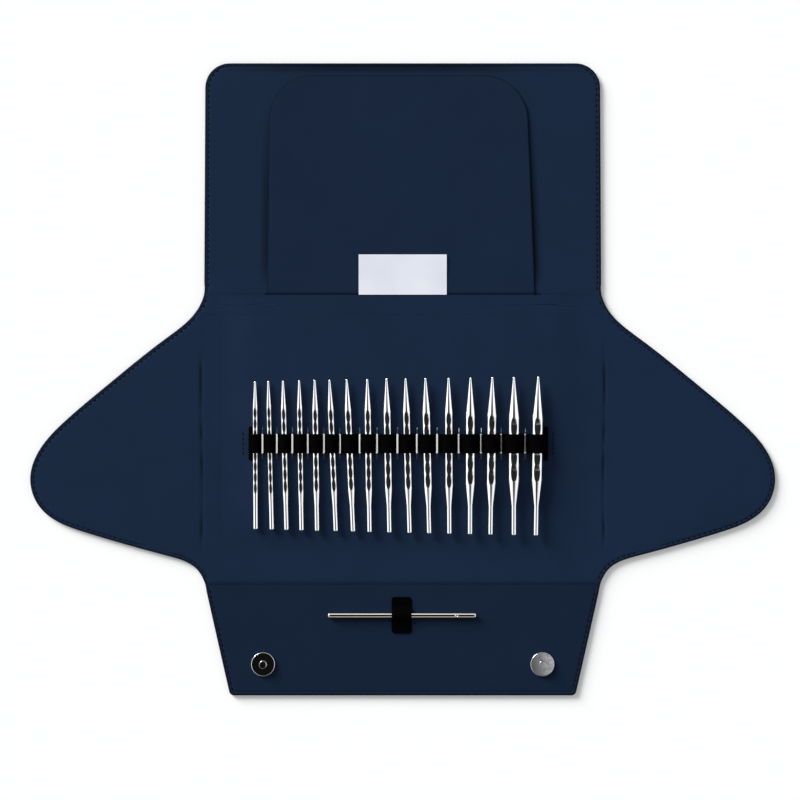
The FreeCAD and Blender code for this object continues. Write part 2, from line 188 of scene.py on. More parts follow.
def surface(name, grid, material, values=None):
    """Closed surface through a grid of points in millimetres: rows run from pole to pole or end to end, and
    columns run round and join up. A grid with one more axis in front holds many like shapes."""
    index = np.arange(grid.size // 3).reshape((-1,) + grid.shape[-3:-1])
    following = np.roll(index, -1, axis=2)
    quads = np.stack([index[:, :-1], following[:, :-1], following[:, 1:], index[:, 1:]], axis=-1)
    mesh = merged(bpy.data.meshes.new(name), grid.reshape(-1, 3) * mm, quads.reshape(-1, 4), values or {})
    mesh.materials.append(material)
    piece = bpy.data.objects.new(name, mesh)
    bpy.context.scene.collection.objects.link(piece)
    return piece


def smooth(value, low, high):
    """0 below low, 1 above high, and the cubic 3 t t - 2 t t t between them."""
    t = np.clip((value - low) / (high - low), 0, 1)
    return t * t * (3 - 2 * t)


def bell(value, middle, width):
    """1 at the middle, falling to 1/e at one width from it: e to the power of minus the distance squared."""
    return np.exp(-((value - middle) / width) ** 2)


def spread(path, shares):
    """Points of a path in the plane at given shares of its length."""
    gone = np.append(0, np.cumsum(np.hypot(*np.diff(path, axis=0).T)))
    return np.stack([np.interp(shares * gone[-1], gone, side) for side in path.T], axis=1)


def creased(loop, zone):
    """Number of the zone's border, and so of the crease, that each side of a loop lies on, or 0 for none."""
    following = np.roll(loop, -1, axis=0)
    on = [np.abs(loop[:, axis] - border) + np.abs(following[:, axis] - border) < crease_near
          for axis, border in ((0, zone[0]), (0, zone[1]), (1, zone[2]), (1, zone[3]))]
    return np.any(on, axis=0) * (1 + np.argmax(on, axis=0))


def outline_of(node, level, zone):
    """Loop of a node's flat face at one height, in millimetres: its corners in the order of their angle
    round the middle, with the long sides divided evenly, starting at the end of a crease."""
    flat = np.empty(len(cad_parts[node].data.vertices) * 3, np.float32)
    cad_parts[node].data.vertices.foreach_get("co", flat)
    flat = flat.reshape(-1, 3) / mm
    flat = np.unique(np.round(flat[np.abs(flat[:, 2] - level) < 1e-3, :2], 3), axis=0)
    middle = (flat.min(0) + flat.max(0)) / 2
    loop = flat[np.argsort(np.arctan2(*(flat - middle).T[::-1]))]
    side = np.roll(loop, -1, axis=0) - loop
    count = np.maximum(1, np.ceil(np.hypot(*side.T) / outline_step)).astype(int)
    first = np.repeat(np.cumsum(count) - count, count)
    share = (np.arange(count.sum()) - first) / np.repeat(count, count)
    loop = np.repeat(loop, count, axis=0) + np.repeat(side, count, axis=0) * share[:, None]
    return np.roll(loop, -np.flatnonzero(np.diff(creased(loop, zone)))[0] - 1, axis=0)


def inset(loop, distance):
    """The loop with each side moved inwards by its own distance: a corner goes to where its sides cross."""
    side = np.roll(loop, -1, axis=0) - loop
    side /= np.hypot(*side.T)[:, None]
    inward = np.stack([-side[:, 1], side[:, 0]], axis=1)
    before = np.roll(inward, 1, axis=0)
    far = np.roll(distance, 1)
    cross = before[:, 0] * inward[:, 1] - before[:, 1] * inward[:, 0]
    straight = np.abs(cross) < 0.02
    bend = np.where(straight, 1.0, cross)
    corner = np.stack([(far * inward[:, 1] - distance * before[:, 1]) / bend,
                       (before[:, 0] * distance - inward[:, 0] * far) / bend], axis=1)
    along = (before + inward) / 2 * ((far + distance) / 2)[:, None]
    return loop + np.where(straight[:, None], along, corner)


def ring(body, edge, crease):
    """A panel's loop, moved in by one distance from the outer edge and by another from the creases. Points
    are spread evenly over each run again, so that runs keep meeting in their corners."""
    loop = loops[body]
    fold = folded[body] > 0
    low, high = np.reshape(zones[body][2], (2, 2)).T
    moved = inset(loop, np.where(fold, crease, edge))
    bounds = np.append(np.flatnonzero(folded[body] != np.roll(folded[body], 1)), len(loop))
    made = np.empty_like(loop)
    for begin, end in zip(bounds[:-1], bounds[1:]):
        within = moved[begin + 1:end]
        within = within[np.all((within > low + crease) & (within < high - crease), axis=1) & ~fold[begin]]
        way = np.vstack([moved[begin], within, moved[end % len(loop)]])
        made[begin:end] = spread(way, np.arange(end - begin) / (end - begin))
    return made


def ripple(x, y):
    """Slow unevenness of the glued lining, up to an eighth of a millimetre deep, and none along the middle of
    each spine."""
    wave = np.sin(x / 17 + np.sin(y / 29)) + np.sin(y / 13 + 1.7 * np.sin(x / 37)) + np.sin((x + y) / 23)
    top_spine = bell(y, (top_inner + top_outer) / 2, 3)
    bottom_spine = bell(y, (bottom_inner + bottom_outer) / 2, 4)
    wing_spine = bell(np.abs(x), (wing_inner + wing_outer) / 2, 3)
    return -0.06 + 0.02 * wave * (1 - np.maximum(np.maximum(top_spine, bottom_spine), wing_spine))


# Each zone has the solid that gives its outline and the height to take it at, its borders on the left, right,
# bottom and top, and the half width and half length of the plain middle of its mesh.
span = (bottom_inner, top_inner)
full = (-beyond, beyond)
zones = {"core": ("core_cover", 0.0, (-wing_inner, wing_inner) + span, (107, 64)),
         "left_spine": ("left_spine_lining", panel_top, (-wing_outer, -wing_inner) + span, (0.4, 71)),
         "right_spine": ("right_spine_lining", panel_top, (wing_inner, wing_outer) + span, (0.4, 71)),
         "left_wing": ("left_wing_lining", panel_top, (-beyond, -wing_outer) + span, (12, 6)),
         "right_wing": ("right_wing_lining", panel_top, (wing_outer, beyond) + span, (12, 6)),
         "top_spine": ("top_spine_cover", 0.0, full + (top_inner, top_outer), (122, 0.3)),
         "top_flap": ("top_flap_lining", panel_top, full + (top_outer, beyond), (100, 60)),
         "bottom_spine": ("bottom_spine_lining", panel_top, full + (bottom_outer, bottom_inner), (124, 0.4)),
         "bottom_flap": ("bottom_flap_cover", 0.0, full + (-beyond, bottom_outer), (95, 24))}
loops = {body: outline_of(*zone[:3]) for body, zone in zones.items()}
folded = {body: creased(loops[body], zone[2]) for body, zone in zones.items()}
loops["top_flap"][:, 0] *= 1 + 0.00007 * (loops["top_flap"][:, 1] - top_outer)
loops["bottom_flap"][:, 0] *= 1 - 0.00016 * (loops["bottom_flap"][:, 1] - bottom_outer)


def pressed(x, y):
    """Share of the slightly wavy groove pressed in along each wing crease, which fades out at both ends."""
    line = wing_outer + 0.8 + 0.4 * np.sin(y / 21)
    uneven = 0.75 + 0.25 * np.sin(y / 4.7 + 1.4 * np.sin(y / 11))
    return bell(np.abs(x), line, 1.1) * uneven * smooth(y, -78, -64) * (1 - smooth(y, 42, 68))


def top_of(x, y):
    """Height of the lining: raised over the pocket and falling to the panels round it, with a furrow along
    the wing creases and a soft valley along the flap creases."""
    across = 1 - smooth(np.abs(x), 96, wing_inner)
    raised = across * smooth(y, bottom_inner, -44) * (y < top_outer)
    groove = 0.4 * pressed(x, y)
    mouth = 1 - smooth(np.abs(x), 86, 90)
    bottom_valley = 0.35 * bell(y, bottom_outer, 1.3) * (y > bottom_outer + 0.3)
    top_valley = (0.12 + 0.88 * mouth) * bell(y, top_outer, 1.1) * (y > top_outer)
    return panel_top + (core_top - panel_top) * raised - groove - bottom_valley - top_valley + ripple(x, y)


def skin(body, base, top, turned, furrow_depth, material):
    """Closed skin of a flat piece of glued leatherette. Rings of constant inset start in the middle of the
    underside, go round the turned edge, over the stitch furrow, and on to the middle of the upper side."""
    loop = loops[body]
    fold = folded[body] > 0
    outer = ~(fold & np.roll(fold, 1))
    turns = 6
    turn = np.linspace(0, np.pi / 2, turns)
    low = turned * (1 - np.sin(turn))
    rise = turned * (1 - np.cos(turn))
    over_edge = np.array([1.3, 1.7, 2.1, 2.4, 2.7, 3.1, 3.5])
    over_crease = np.array([-0.25, 0.7, 1.2, 1.7, 2.2, 2.8, 3.5])
    edge_in = np.concatenate([over_edge[-1:], low, low[::-1], over_edge])
    crease_in = np.concatenate([over_crease[-1:], np.full(2 * turns, -crease_overlap), over_crease])
    rings = [ring(body, e, c) for e, c in zip(edge_in, crease_in)]
    middle = (loop.min(0) + loop.max(0)) / 2
    heart = np.clip(loop, middle - zones[body][3], middle + zones[body][3])
    steps = (0.2, 0.4, 0.6, 0.8, 1.0)
    narrowing = (0.03, 0.08, 0.16, 0.35, 1.0)
    under = [rings[0] + (heart - rings[0]) * s for s in steps]
    under += [heart + (middle - heart) * s for s in steps]
    above = [rings[-1] + (heart - rings[-1]) * s for s in steps]
    above += [heart + (middle - heart) * s for s in narrowing]
    flat = np.stack(under[::-1] + rings + above)
    x, y = flat[..., 0], flat[..., 1]
    floor, roof = base(x, y), top(x, y)
    first = len(under)
    lower = slice(first + 1, first + 1 + turns)
    upper = slice(lower.stop, lower.stop + turns)
    lining = slice(upper.stop, upper.stop + len(over_edge))
    wall = (roof - floor)[lower] / 2
    lift = np.where(outer, rise[:, None], np.linspace(0, 1, turns)[:, None] * wall)
    furrow = np.where(outer, furrow_depth * bell(over_edge, furrow_inset, 0.42)[:, None], 0)
    level = np.concatenate([floor[:first + 1], floor[lower] + lift, roof[upper] - lift[::-1],
                            roof[lining] - furrow, roof[lining.stop:]])
    # The rim sets painted shade along the turned edges, in the wing grooves and along the bottom crease; it
    # also makes bands darker towards the top and bottom ends of the case.
    rim = np.full(flat.shape[:2], inside_rim)
    rim[first:lining.stop] = np.where(outer, edge_in[:, None], inside_rim)
    darker_share = np.maximum(pressed(x, y), 0.8 * bell(y, bottom_outer + 0.4, 1.1))
    end_bands = 1.3 + np.minimum(0.12 * (top_edge - y), 0.16 * (y - bottom_edge))
    rim = np.minimum(np.minimum(rim, end_bands), 2.2 - 1.5 * darker_share)
    grid = np.concatenate([flat, level[..., None]], axis=-1)
    return surface(body + "_skin", grid, material, {"rim": rim})


def resting(x, y):
    """The underside lies flat on the table."""
    return 0 * x


def tongue_shadow_and_dark_end(place):
    """Painted shadow in bands just outside the sides of the tongue: darkest along its two edges, which are
    straight lines, and dying away from the pocket. The free edge of the flap is darker too, most in its
    middle."""
    x, y, z = (place.put("SeparateXYZ", {}, {0: place}, out=number) for number in range(3))
    beyond_left = y * 0.00996 - 0.08899 - x
    beyond_right = x + y * 0.0392 - 0.08963
    outside = x.math("MAXIMUM", beyond_left, beyond_right)
    # Painted shadow beside each side of the tongue.
    band = outside.step(-0.0015, -0.0004) * (1.0 - outside.step(0.0012, 0.0066))
    along = y.step(0.096, 0.115) * (1.0 - y.step(0.150, 0.236))
    aside = x.math("ABSOLUTE", x + 0.01)
    dusk = y.step(0.2368, 0.2420) * (1.0 - aside.step(0.03, 0.125) * 0.7)
    on_lining = z.step(0.0016, 0.0020)
    return x.math("MAXIMUM", band * along * 0.5, dusk * 0.72) * on_lining


# Each skin takes painted shade along its turned edges; the top flap also takes painted shadow beside the
# tongue.
lining_skin = leatherette("lining_skin", 0.55, 2.0, 0.9)
skins = {"bottom_flap": leatherette("flap_skin", 0.55, 2.0, 0.9, depth=0.76),
         "top_flap": leatherette("top_flap_skin", 0.55, 2.0, 0.9, mark=tongue_shadow_and_dark_end)}
panels = {body: skin(body, resting, top_of, 0.9, 0.3, skins.get(body, lining_skin))
          for body in zones}
for body, piece in panels.items():
    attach(piece, body)
    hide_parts(body + "_cover", body + "_lining")

# Creases
# At every fold the cover and the lining are doubled and pressed together, so the leatherette bends there.
# A hidden strip lies in each crease.
crease_half = 2.2
crease_reach = 1.2
crease_floor = 0.06
crease_rows = 40
wing_ends = (-70.8, 81.2)
core_ends = (-118, 118)


def crease(name, first, second, axis, at, way, ends, level):
    """A flat rectangle with many points across, carried along the crease and closed at both ends."""
    half = np.linspace(-1, 1, 9)
    across = np.concatenate([half, half[::-1]]) * crease_half
    height = np.repeat([crease_floor, level], len(half))
    along = np.concatenate([ends[:1], np.linspace(*ends, crease_rows), ends[1:]])
    open_by = np.concatenate([[0.0], np.ones(crease_rows), [0.0]])[:, None]
    grid = np.empty((len(along), len(across), 3))
    grid[..., axis] = at + across * open_by
    grid[..., 1 - axis] = along[:, None]
    grid[..., 2] = level / 2 + (height - level / 2) * open_by
    rim = np.full(grid.shape[:2], inside_rim)
    piece = surface(name, grid, lining_skin, {"rim": rim})
    start = np.array([0.0, 0.0, level * mm])
    start[axis] = (at - way * crease_reach) * mm
    end = start.copy()
    end[axis] = (at + way * crease_reach) * mm
    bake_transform(piece)


crease("left_inner_crease", "core", "left_spine", 0, -wing_inner, -1, wing_ends, 2.3)
crease("left_outer_crease", "left_spine", "left_wing", 0, -wing_outer, -1, wing_ends, 1.2)
crease("right_inner_crease", "core", "right_spine", 0, wing_inner, 1, wing_ends, 2.3)
crease("right_outer_crease", "right_spine", "right_wing", 0, wing_outer, 1, wing_ends, 1.2)
crease("top_inner_crease", "core", "top_spine", 1, top_inner, 1, core_ends, 2.3)
crease("top_outer_crease", "top_spine", "top_flap", 1, top_outer, 1, (-127.5, 127.5), 1.5)
crease("bottom_inner_crease", "core", "bottom_spine", 1, bottom_inner, -1, core_ends, 2.3)
crease("bottom_outer_crease", "bottom_spine", "bottom_flap", 1, bottom_outer, -1, (-126.5, 126.5), 2.0)

# Edge stitching
# One row of navy thread along the sides of the case, a little inside the turned edge, which holds cover and
# lining together. Each stitch bows up out of the furrow and dips into its holes.
stitch_pitch = 3.6
stitch_half = 1.25
stitch_bow = 0.28
stitch_sink = 0.3
thread_radius = 0.32
sewn_from = -162.5
sewn_to = 240.5


def thread_finish():
    """Twisted thread: fine slanted ribs on a dark navy, made darker still as painted shade of the stitch
    holes.
    """
    made, start, shader = finish("navy_thread", Roughness=0.7, Specular_IOR_Level=0.05)
    place = start.put("TexCoord", {}, {}, out=3)
    twist = start.put("TexWave", {"bands_direction": "DIAGONAL"},
                      {"Vector": place, "Scale": 900.0, "Distortion": 1.0})
    twist.mix((0.0014, 0.0026, 0.0065, 1.0), (0.0036, 0.0068, 0.0160, 1.0)).to(shader, "Base Color")
    start.put("Bump", {}, {"Strength": 0.4, "Distance": 0.0001, "Height": twist}).to(shader, "Normal")
    return made


def stitches(name, at, tangent, level, body):
    """Many like stitches in one mesh: a bowed bar with tapering ends, laid at each place along its
    tangent."""
    s = np.linspace(-1, 1, 6)[:, None]
    turn = np.linspace(0, 2 * np.pi, 6, endpoint=False)
    thick = thread_radius * np.sqrt(1 - s ** 4)
    along = s * stitch_half + 0 * turn
    side = thick * np.cos(turn)
    way_x, way_y = tangent.T[:, :, None, None]
    points = np.empty((len(at),) + side.shape + (3,))
    points[..., 0] = at[:, None, None, 0] + along * way_x - side * way_y
    points[..., 1] = at[:, None, None, 1] + along * way_y + side * way_x
    points[..., 2] = level[:, None, None] + thick * np.sin(turn) + stitch_bow * (1 - s * s)
    piece = surface(name, points, navy_thread)
    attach(piece, body)


navy_thread = thread_finish()
for body in ("left_wing", "right_wing", "top_spine", "top_flap", "bottom_spine", "bottom_flap"):
    row = ring(body, furrow_inset, furrow_inset)
    step = np.roll(row, -1, axis=0) - row
    free = folded[body] == 0
    gone = np.append(0, np.cumsum(np.hypot(*step[free].T)))
    mark = np.arange(stitch_pitch / 2, gone[-1] - stitch_pitch / 2, stitch_pitch)
    which = np.searchsorted(gone, mark) - 1
    tangent = step[free] / np.hypot(*step[free].T)[:, None]
    at = row[free][which] + tangent[which] * (mark - gone[which])[:, None]
    sewn = (at[:, 1] < sewn_to) & (at[:, 1] > sewn_from)
    stitches(body + "_stitches", at[sewn], tangent[which][sewn], top_of(*at[sewn].T) - stitch_sink, body)

# Boards inside the panels
# Plain grey pasteboard, cut a little smaller than each panel. It never shows, and has a dull fibrous finish.
def pasteboard_finish():
    """Flecks of paler and darker fibre on a dull grey."""
    made, start, shader = finish("pasteboard", Roughness=0.9, Specular_IOR_Level=0.2)
    fleck = start.put("TexCoord", {}, {}, out=3).noise(1500.0, 4.0)
    fleck.mix((0.22, 0.21, 0.19, 1.0), (0.36, 0.34, 0.31, 1.0)).to(shader, "Base Color")
    start.put("Bump", {}, {"Strength": 0.2, "Distance": 0.0002, "Height": fleck}).to(shader, "Normal")
    return made


def dress(material, *nodes):
    """Gives solids of the frame a finish in place of their plain colour."""
    for node in nodes:
        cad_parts[node].data.materials.clear()
        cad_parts[node].data.materials.append(material)


boarded = ("core", "left_wing", "right_wing", "top_flap", "bottom_flap")
dress(pasteboard_finish(), *(body + "_board" for body in boarded))

# Tongue
# A loose flap of thin navy leather with two round corners. Its root is sewn inside the pocket, it comes out
# of the mouth at the top crease and lies on the top flap, where its sides stand off a little near the mouth.
tongue_start = 94.1
tongue_level = 3.5
tongue_thick = 0.72
zones["tongue"] = ("tongue", tongue_level, full + (tongue_start, beyond), (55, 40))
loops["tongue"] = outline_of(*zones["tongue"][:3])
folded["tongue"] = creased(loops["tongue"], zones["tongue"][2])
loops["tongue"][:, 0] -= 1.05 + 0.0146 * (loops["tongue"][:, 1] - top_outer)


def tongue_lift(x, y):
    """How far the leather stands off the flap: most at the sides, dying away from the mouth."""
    hollow = 0.2 + 0.38 * smooth(y, top_outer, 116) * (1 - smooth(y, 125, 215))
    return hollow * smooth(np.abs(x + 1.5), 50, 87) * smooth(y, top_outer, 102)


def tongue_top(x, y):
    """The upper side dips into the mouth and is a little uneven."""
    mouth = 0.85 * bell(y, top_outer, 0.9)
    return tongue_level + tongue_lift(x, y) - mouth + 0.6 * ripple(x + 40, y)


def tongue_base(x, y):
    """The lower side keeps one distance from the upper side."""
    return tongue_top(x, y) - tongue_thick


tongue_skin = leatherette("tongue_skin", 0.45, 1.0, 0.7, depth=0.88)
tongue = skin("tongue", tongue_base, tongue_top, 0.3, 0.0, tongue_skin)
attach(tongue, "tongue")
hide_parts("tongue")
dress(tongue_skin, "tongue_root", "tongue_neck")

# Card
# A slip of smooth white card, tucked in the mouth of the pocket on top of the tongue. Its face is plain.
card_half = 28.6
card_start = 94.1
card_end = 120.2
card_level = 3.9
card_thick = 0.28


def card_finish():
    """Coated paper: nearly even white with faint cool clouds and a very fine tooth."""
    made, start, shader = finish("card_paper", Roughness=0.55, Specular_IOR_Level=0.25)
    place = start.put("TexCoord", {}, {}, out=3)
    cloud = place.noise(28.0, 2.0).step(0.3, 0.7)
    cloud.mix((0.70, 0.72, 0.81, 1.0), (0.77, 0.79, 0.86, 1.0)).to(shader, "Base Color")
    tooth = place.noise(2500.0)
    start.put("Bump", {}, {"Strength": 0.05, "Distance": 0.0001, "Height": tooth}).to(shader, "Normal")
    return made


def plate(along, across, top, thickness):
    """Closed thin plate: across its section goes over the upper side and back along the lower side, and the
    section is carried along and closed to a line at both ends."""
    side = np.concatenate([across, across[::-1]])
    drop = np.repeat([0.0, thickness], len(across))
    x, y = np.broadcast_arrays(side[None, :], np.concatenate([along[:1], along, along[-1:]])[:, None])
    z = top(x, y) - drop
    z[[0, -1]] = top(x, y)[[0, -1]] - thickness / 2
    return np.stack([x, y, z], axis=-1)


def card_top(x, y):
    """The card bends up a little at its free corners."""
    return card_level + smooth(y, 98, card_end) * (0.3 + 0.35 * (x / card_half) ** 2)


card_along = np.concatenate([[card_start, card_start + 0.06], np.linspace(94.5, 119.8, 12),
                             [card_end - 0.06, card_end]])
card_across = np.concatenate([[-1, -0.998], np.linspace(-0.98, 0.98, 20), [0.998, 1]]) * card_half
card = surface("card_slip", plate(card_along, card_across, card_top, card_thick), card_finish())
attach(card, "card")
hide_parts("card")

# Needle elastic
# One band of woven black elastic over all the tips. It goes down through a bound slot at each end, and is
# pulled down to the lining between the tips, so that it makes one tight loop for each.
needle_width = np.repeat([3.5, 4.0, 4.5, 5.0, 5.5, 6.0, 7.0, 8.0], 2)
needle_share = np.arange(16) / 15
needle_length = 96 + 7 * needle_share
needle_point = 38 + 3 * needle_share
needle_lean = np.array([0.004, 0.024, 0.024, 0.016, 0.016, 0.042, 0.042, 0.015,
                        0.019, 0.026, 0.024, 0.005, -0.003, -0.012, -0.001, -0.015])
band_left = -100.0
band_length = 194.4
band_y = -2.6
band_width = 12.4
band_thick = 0.8
band_columns = 28
band_square = 0.35
band_slack = 0.2
slot_depth = 1.2
end_foot = 0.3
foot_half = 1.49
arch_sink = 0.1
arch_clear = 0.9
needle_place = band_left + band_length * np.array([
    0.0224, 0.0706, 0.1197, 0.1722, 0.2241, 0.2789, 0.3365, 0.3993,
    0.4642, 0.5294, 0.5953, 0.6682, 0.7395, 0.8104, 0.8846, 0.9625])
staple_place = band_left + band_length * np.array([
    0.0458, 0.0936, 0.1455, 0.1973, 0.2508, 0.3043, 0.3712, 0.4281,
    0.4967, 0.5619, 0.6288, 0.7013, 0.7759, 0.8428, 0.9231])


def elastic_finish():
    """Woven elastic: ribs of rubber along the band, crossed by fine threads, in a dull black."""
    made, start, shader = finish("black_elastic", Roughness=0.75, Specular_IOR_Level=0.01)
    along = start.put("Attribute", {"attribute_name": "along"}, {}, out=2)
    across = start.put("Attribute", {"attribute_name": "across"}, {}, out=2)
    rib = start.math("SINE", across * (2 * math.pi / 0.95)) * 0.5 + 0.5
    thread = start.math("SINE", along * (2 * math.pi / 0.5)) * 0.5 + 0.5
    weave = rib * 0.6 + thread * 0.4
    weave.mix((0.0003, 0.0003, 0.0004, 1.0), (0.0011, 0.0011, 0.0014, 1.0)).to(shader, "Base Color")
    start.put("Bump", {}, {"Strength": 0.5, "Distance": 0.0002, "Height": weave}).to(shader, "Normal")
    return made


def over(middle, height, radius, left, right):
    """A band pulled over a round bar: straight up from one foot, round the bar, and straight down to the
    other. The straight parts touch the circle, which gives the angles between which the band follows it."""
    lean = [math.atan2(height, foot) + math.asin(radius / math.hypot(foot, height))
            for foot in (middle - left, right - middle)]
    turn = np.linspace(-lean[0], lean[1], 30)
    arc = np.stack([middle + radius * np.sin(turn), height + radius * np.cos(turn)], axis=1)
    return np.vstack([[left, 0.0], arc, [right, 0.0]])


def eased(path, step, width):
    """The path with points at even steps, and each point replaced by the mean of its neighbours."""
    length = np.hypot(*np.diff(path, axis=0).T).sum()
    shares = np.linspace(0, 1, int(length / step) + 2)
    padded = np.pad(spread(path, shares), ((width, width), (0, 0)), "edge")
    kernel = np.ones(2 * width + 1) / (2 * width + 1)
    return np.stack([np.convolve(side, kernel, "valid") for side in padded.T], axis=1), shares * length


def ribbon(path, middle, half_width, half_thick, square, columns):
    """A section of the form |a|^p + |b|^p = 1 carried along a path in the upright plane: the rows are
    (distance, width, height), the width stands square to the plane, and the ends close to a point."""
    slope = np.gradient(path, axis=0)
    slope /= np.hypot(*slope.T)[:, None]
    turn = np.linspace(0, 2 * np.pi, columns, endpoint=False)
    wide = half_width * np.sign(np.cos(turn)) * np.abs(np.cos(turn)) ** square
    thick = half_thick * np.sign(np.sin(turn)) * np.abs(np.sin(turn)) ** square
    grid = np.stack([path[:, :1] - slope[:, 1:] * thick, middle + wide + 0 * path[:, :1],
                     path[:, 1:] + slope[:, :1] * thick], axis=-1)
    return np.concatenate([grid[:1].mean(1, keepdims=True) + 0 * grid[:1], grid,
                           grid[-1:].mean(1, keepdims=True) + 0 * grid[-1:]]), wide


band_right = band_left + band_length
left_feet = np.append(band_left + end_foot, staple_place + foot_half)
right_feet = np.append(staple_place - foot_half, band_right - end_foot)
arches = [over(x, w / 2 - arch_sink, w / 2 + arch_clear, a, b)
          for x, w, a, b in zip(needle_place, needle_width, left_feet, right_feet)]
left_end = [[band_left + band_slack, -slot_depth], [band_left + band_slack, 0.0]]
right_end = [[band_right - band_slack, 0.0], [band_right - band_slack, -slot_depth]]
band_path, band_gone = eased(np.vstack([left_end] + arches + [right_end]), 0.3, 2)
grid, wide = ribbon(band_path + [0, core_top + band_thick / 2], band_y, band_width / 2, band_thick / 2,
                    band_square, band_columns)
black_elastic = elastic_finish()
gone = np.pad(band_gone, 1, "edge")
elastic = surface("needle_band", grid, black_elastic,
                  {"along": np.repeat(gone, band_columns), "across": np.tile(wide, len(gone))})
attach(elastic, "core")
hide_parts("needle_elastic")

# Bound slots of the elastic
# Each end of the band goes through a slit whose edges are bound with black tape and held by a short row of
# stitches beside it.
slit_half_length = 11.2
slit_half_width = 1.5
slit_rise = 0.22
slit_in = 1.4
slot_sides = (-103.8, 97.7)
slot_pitch = 3.2
s = np.sin(np.linspace(-np.pi / 2, np.pi / 2, 32))[:, None]
turn = np.linspace(0, 2 * np.pi, 16, endpoint=False)
fullness = np.sqrt(1 - np.abs(s) ** 24)
slits = np.stack([np.stack([x + slit_half_width * fullness * np.cos(turn),
                            band_y + slit_half_length * s + 0 * turn,
                            core_top + slit_rise * fullness * np.sin(turn)], axis=-1)
                  for x in (band_left + slit_in, band_right - slit_in)])
tape = surface("slot_tape", slits, black_elastic,
               {"along": slits[..., 1], "across": slits[..., 0]})
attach(tape, "core")
slot_rows = np.array([(x, band_y + slot_pitch * number) for x in slot_sides for number in range(-2, 3)])
upright = np.tile([0.0, 1.0], (len(slot_rows), 1))
stitches("slot_stitches", slot_rows, upright, top_of(*slot_rows.T) - stitch_sink / 2, "core")

# Staples
# Bright flat wire, one over the band between each two tips, with legs that slope down into the lining.
def wire_finish():
    """Bright drawn wire with faint lines along it; the legs are painted near black as painted shade and dark
    reflection where they slope into the lining.
    """
    made, start, shader = finish("staple_wire", Metallic=0.9)
    drawn = start.put("TexCoord", {}, {}, out=3).noise(1800.0, 2.0)
    leg = start.put("Attribute", {"attribute_name": "leg"}, {}, out=2).step(0.3, 0.7)
    bright = drawn.mix((0.86, 0.86, 0.87, 1.0), (0.97, 0.97, 0.97, 1.0))
    # Painted shade: the legs go near black.
    leg.mix(bright, (0.03, 0.034, 0.04, 1.0)).to(shader, "Base Color")
    (0.1 + drawn * 0.06).to(shader, "Roughness")
    return made


wire_half_width = 0.62
wire_half_thick = 0.166
wire_square = 2.0
wire_columns = 24
leg_start = 5.6
leg_run = 1.2
leg_narrowing = 0.35
bent_wire = np.array([[-10.7, -0.1], [-6.7, 1.1], [6.7, 1.1], [10.7, -0.1]])
wire_path = eased(bent_wire, 0.5, 2)[0] + [band_y, core_top]
one = ribbon(wire_path, 0.0, wire_half_width, wire_half_thick, wire_square, wire_columns)[0]
leg = np.clip((np.abs(one[..., 0] - band_y) - leg_start) / leg_run, 0, 1)
one[..., 1] *= 1 - leg_narrowing * leg
wires = np.stack([np.stack([one[..., 1] + x, one[..., 0], one[..., 2]], axis=-1) for x in staple_place])
staples = surface("staple_wires", wires, wire_finish(),
                  {"leg": np.tile(leg, (len(wires), 1, 1))})
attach(staples, "core")
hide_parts("elastic_staples")

# Needle tips
# Sixteen turned and chromed tips in eight sizes. Each has a blunt point, a long taper, a grip with oval
# scoops on four sides, a cone, and a slim shank that screws onto a cable.
point_radius = 0.65
shank_radius = 1.65
shank_edge = 0.3
needle_lift = 0.3
scoop_sharpness = 120.0


def chrome_finish():
    """Polished plate: a mirror with faint turning marks round the tip."""
    made, start, shader = finish("needle_chrome", Metallic=0.99)
    place = start.put("TexCoord", {}, {}, out=3)
    squeezed = start.put("VectorMath", {"operation": "MULTIPLY"}, {0: place, 1: (0.1, 1.0, 0.1)})
    mark = squeezed.noise(2600.0, 2.0)
    mark.mix((0.88, 0.88, 0.89, 1.0), (0.97, 0.97, 0.97, 1.0)).to(shader, "Base Color")
    (0.04 + mark * 0.05).to(shader, "Roughness")
    return made


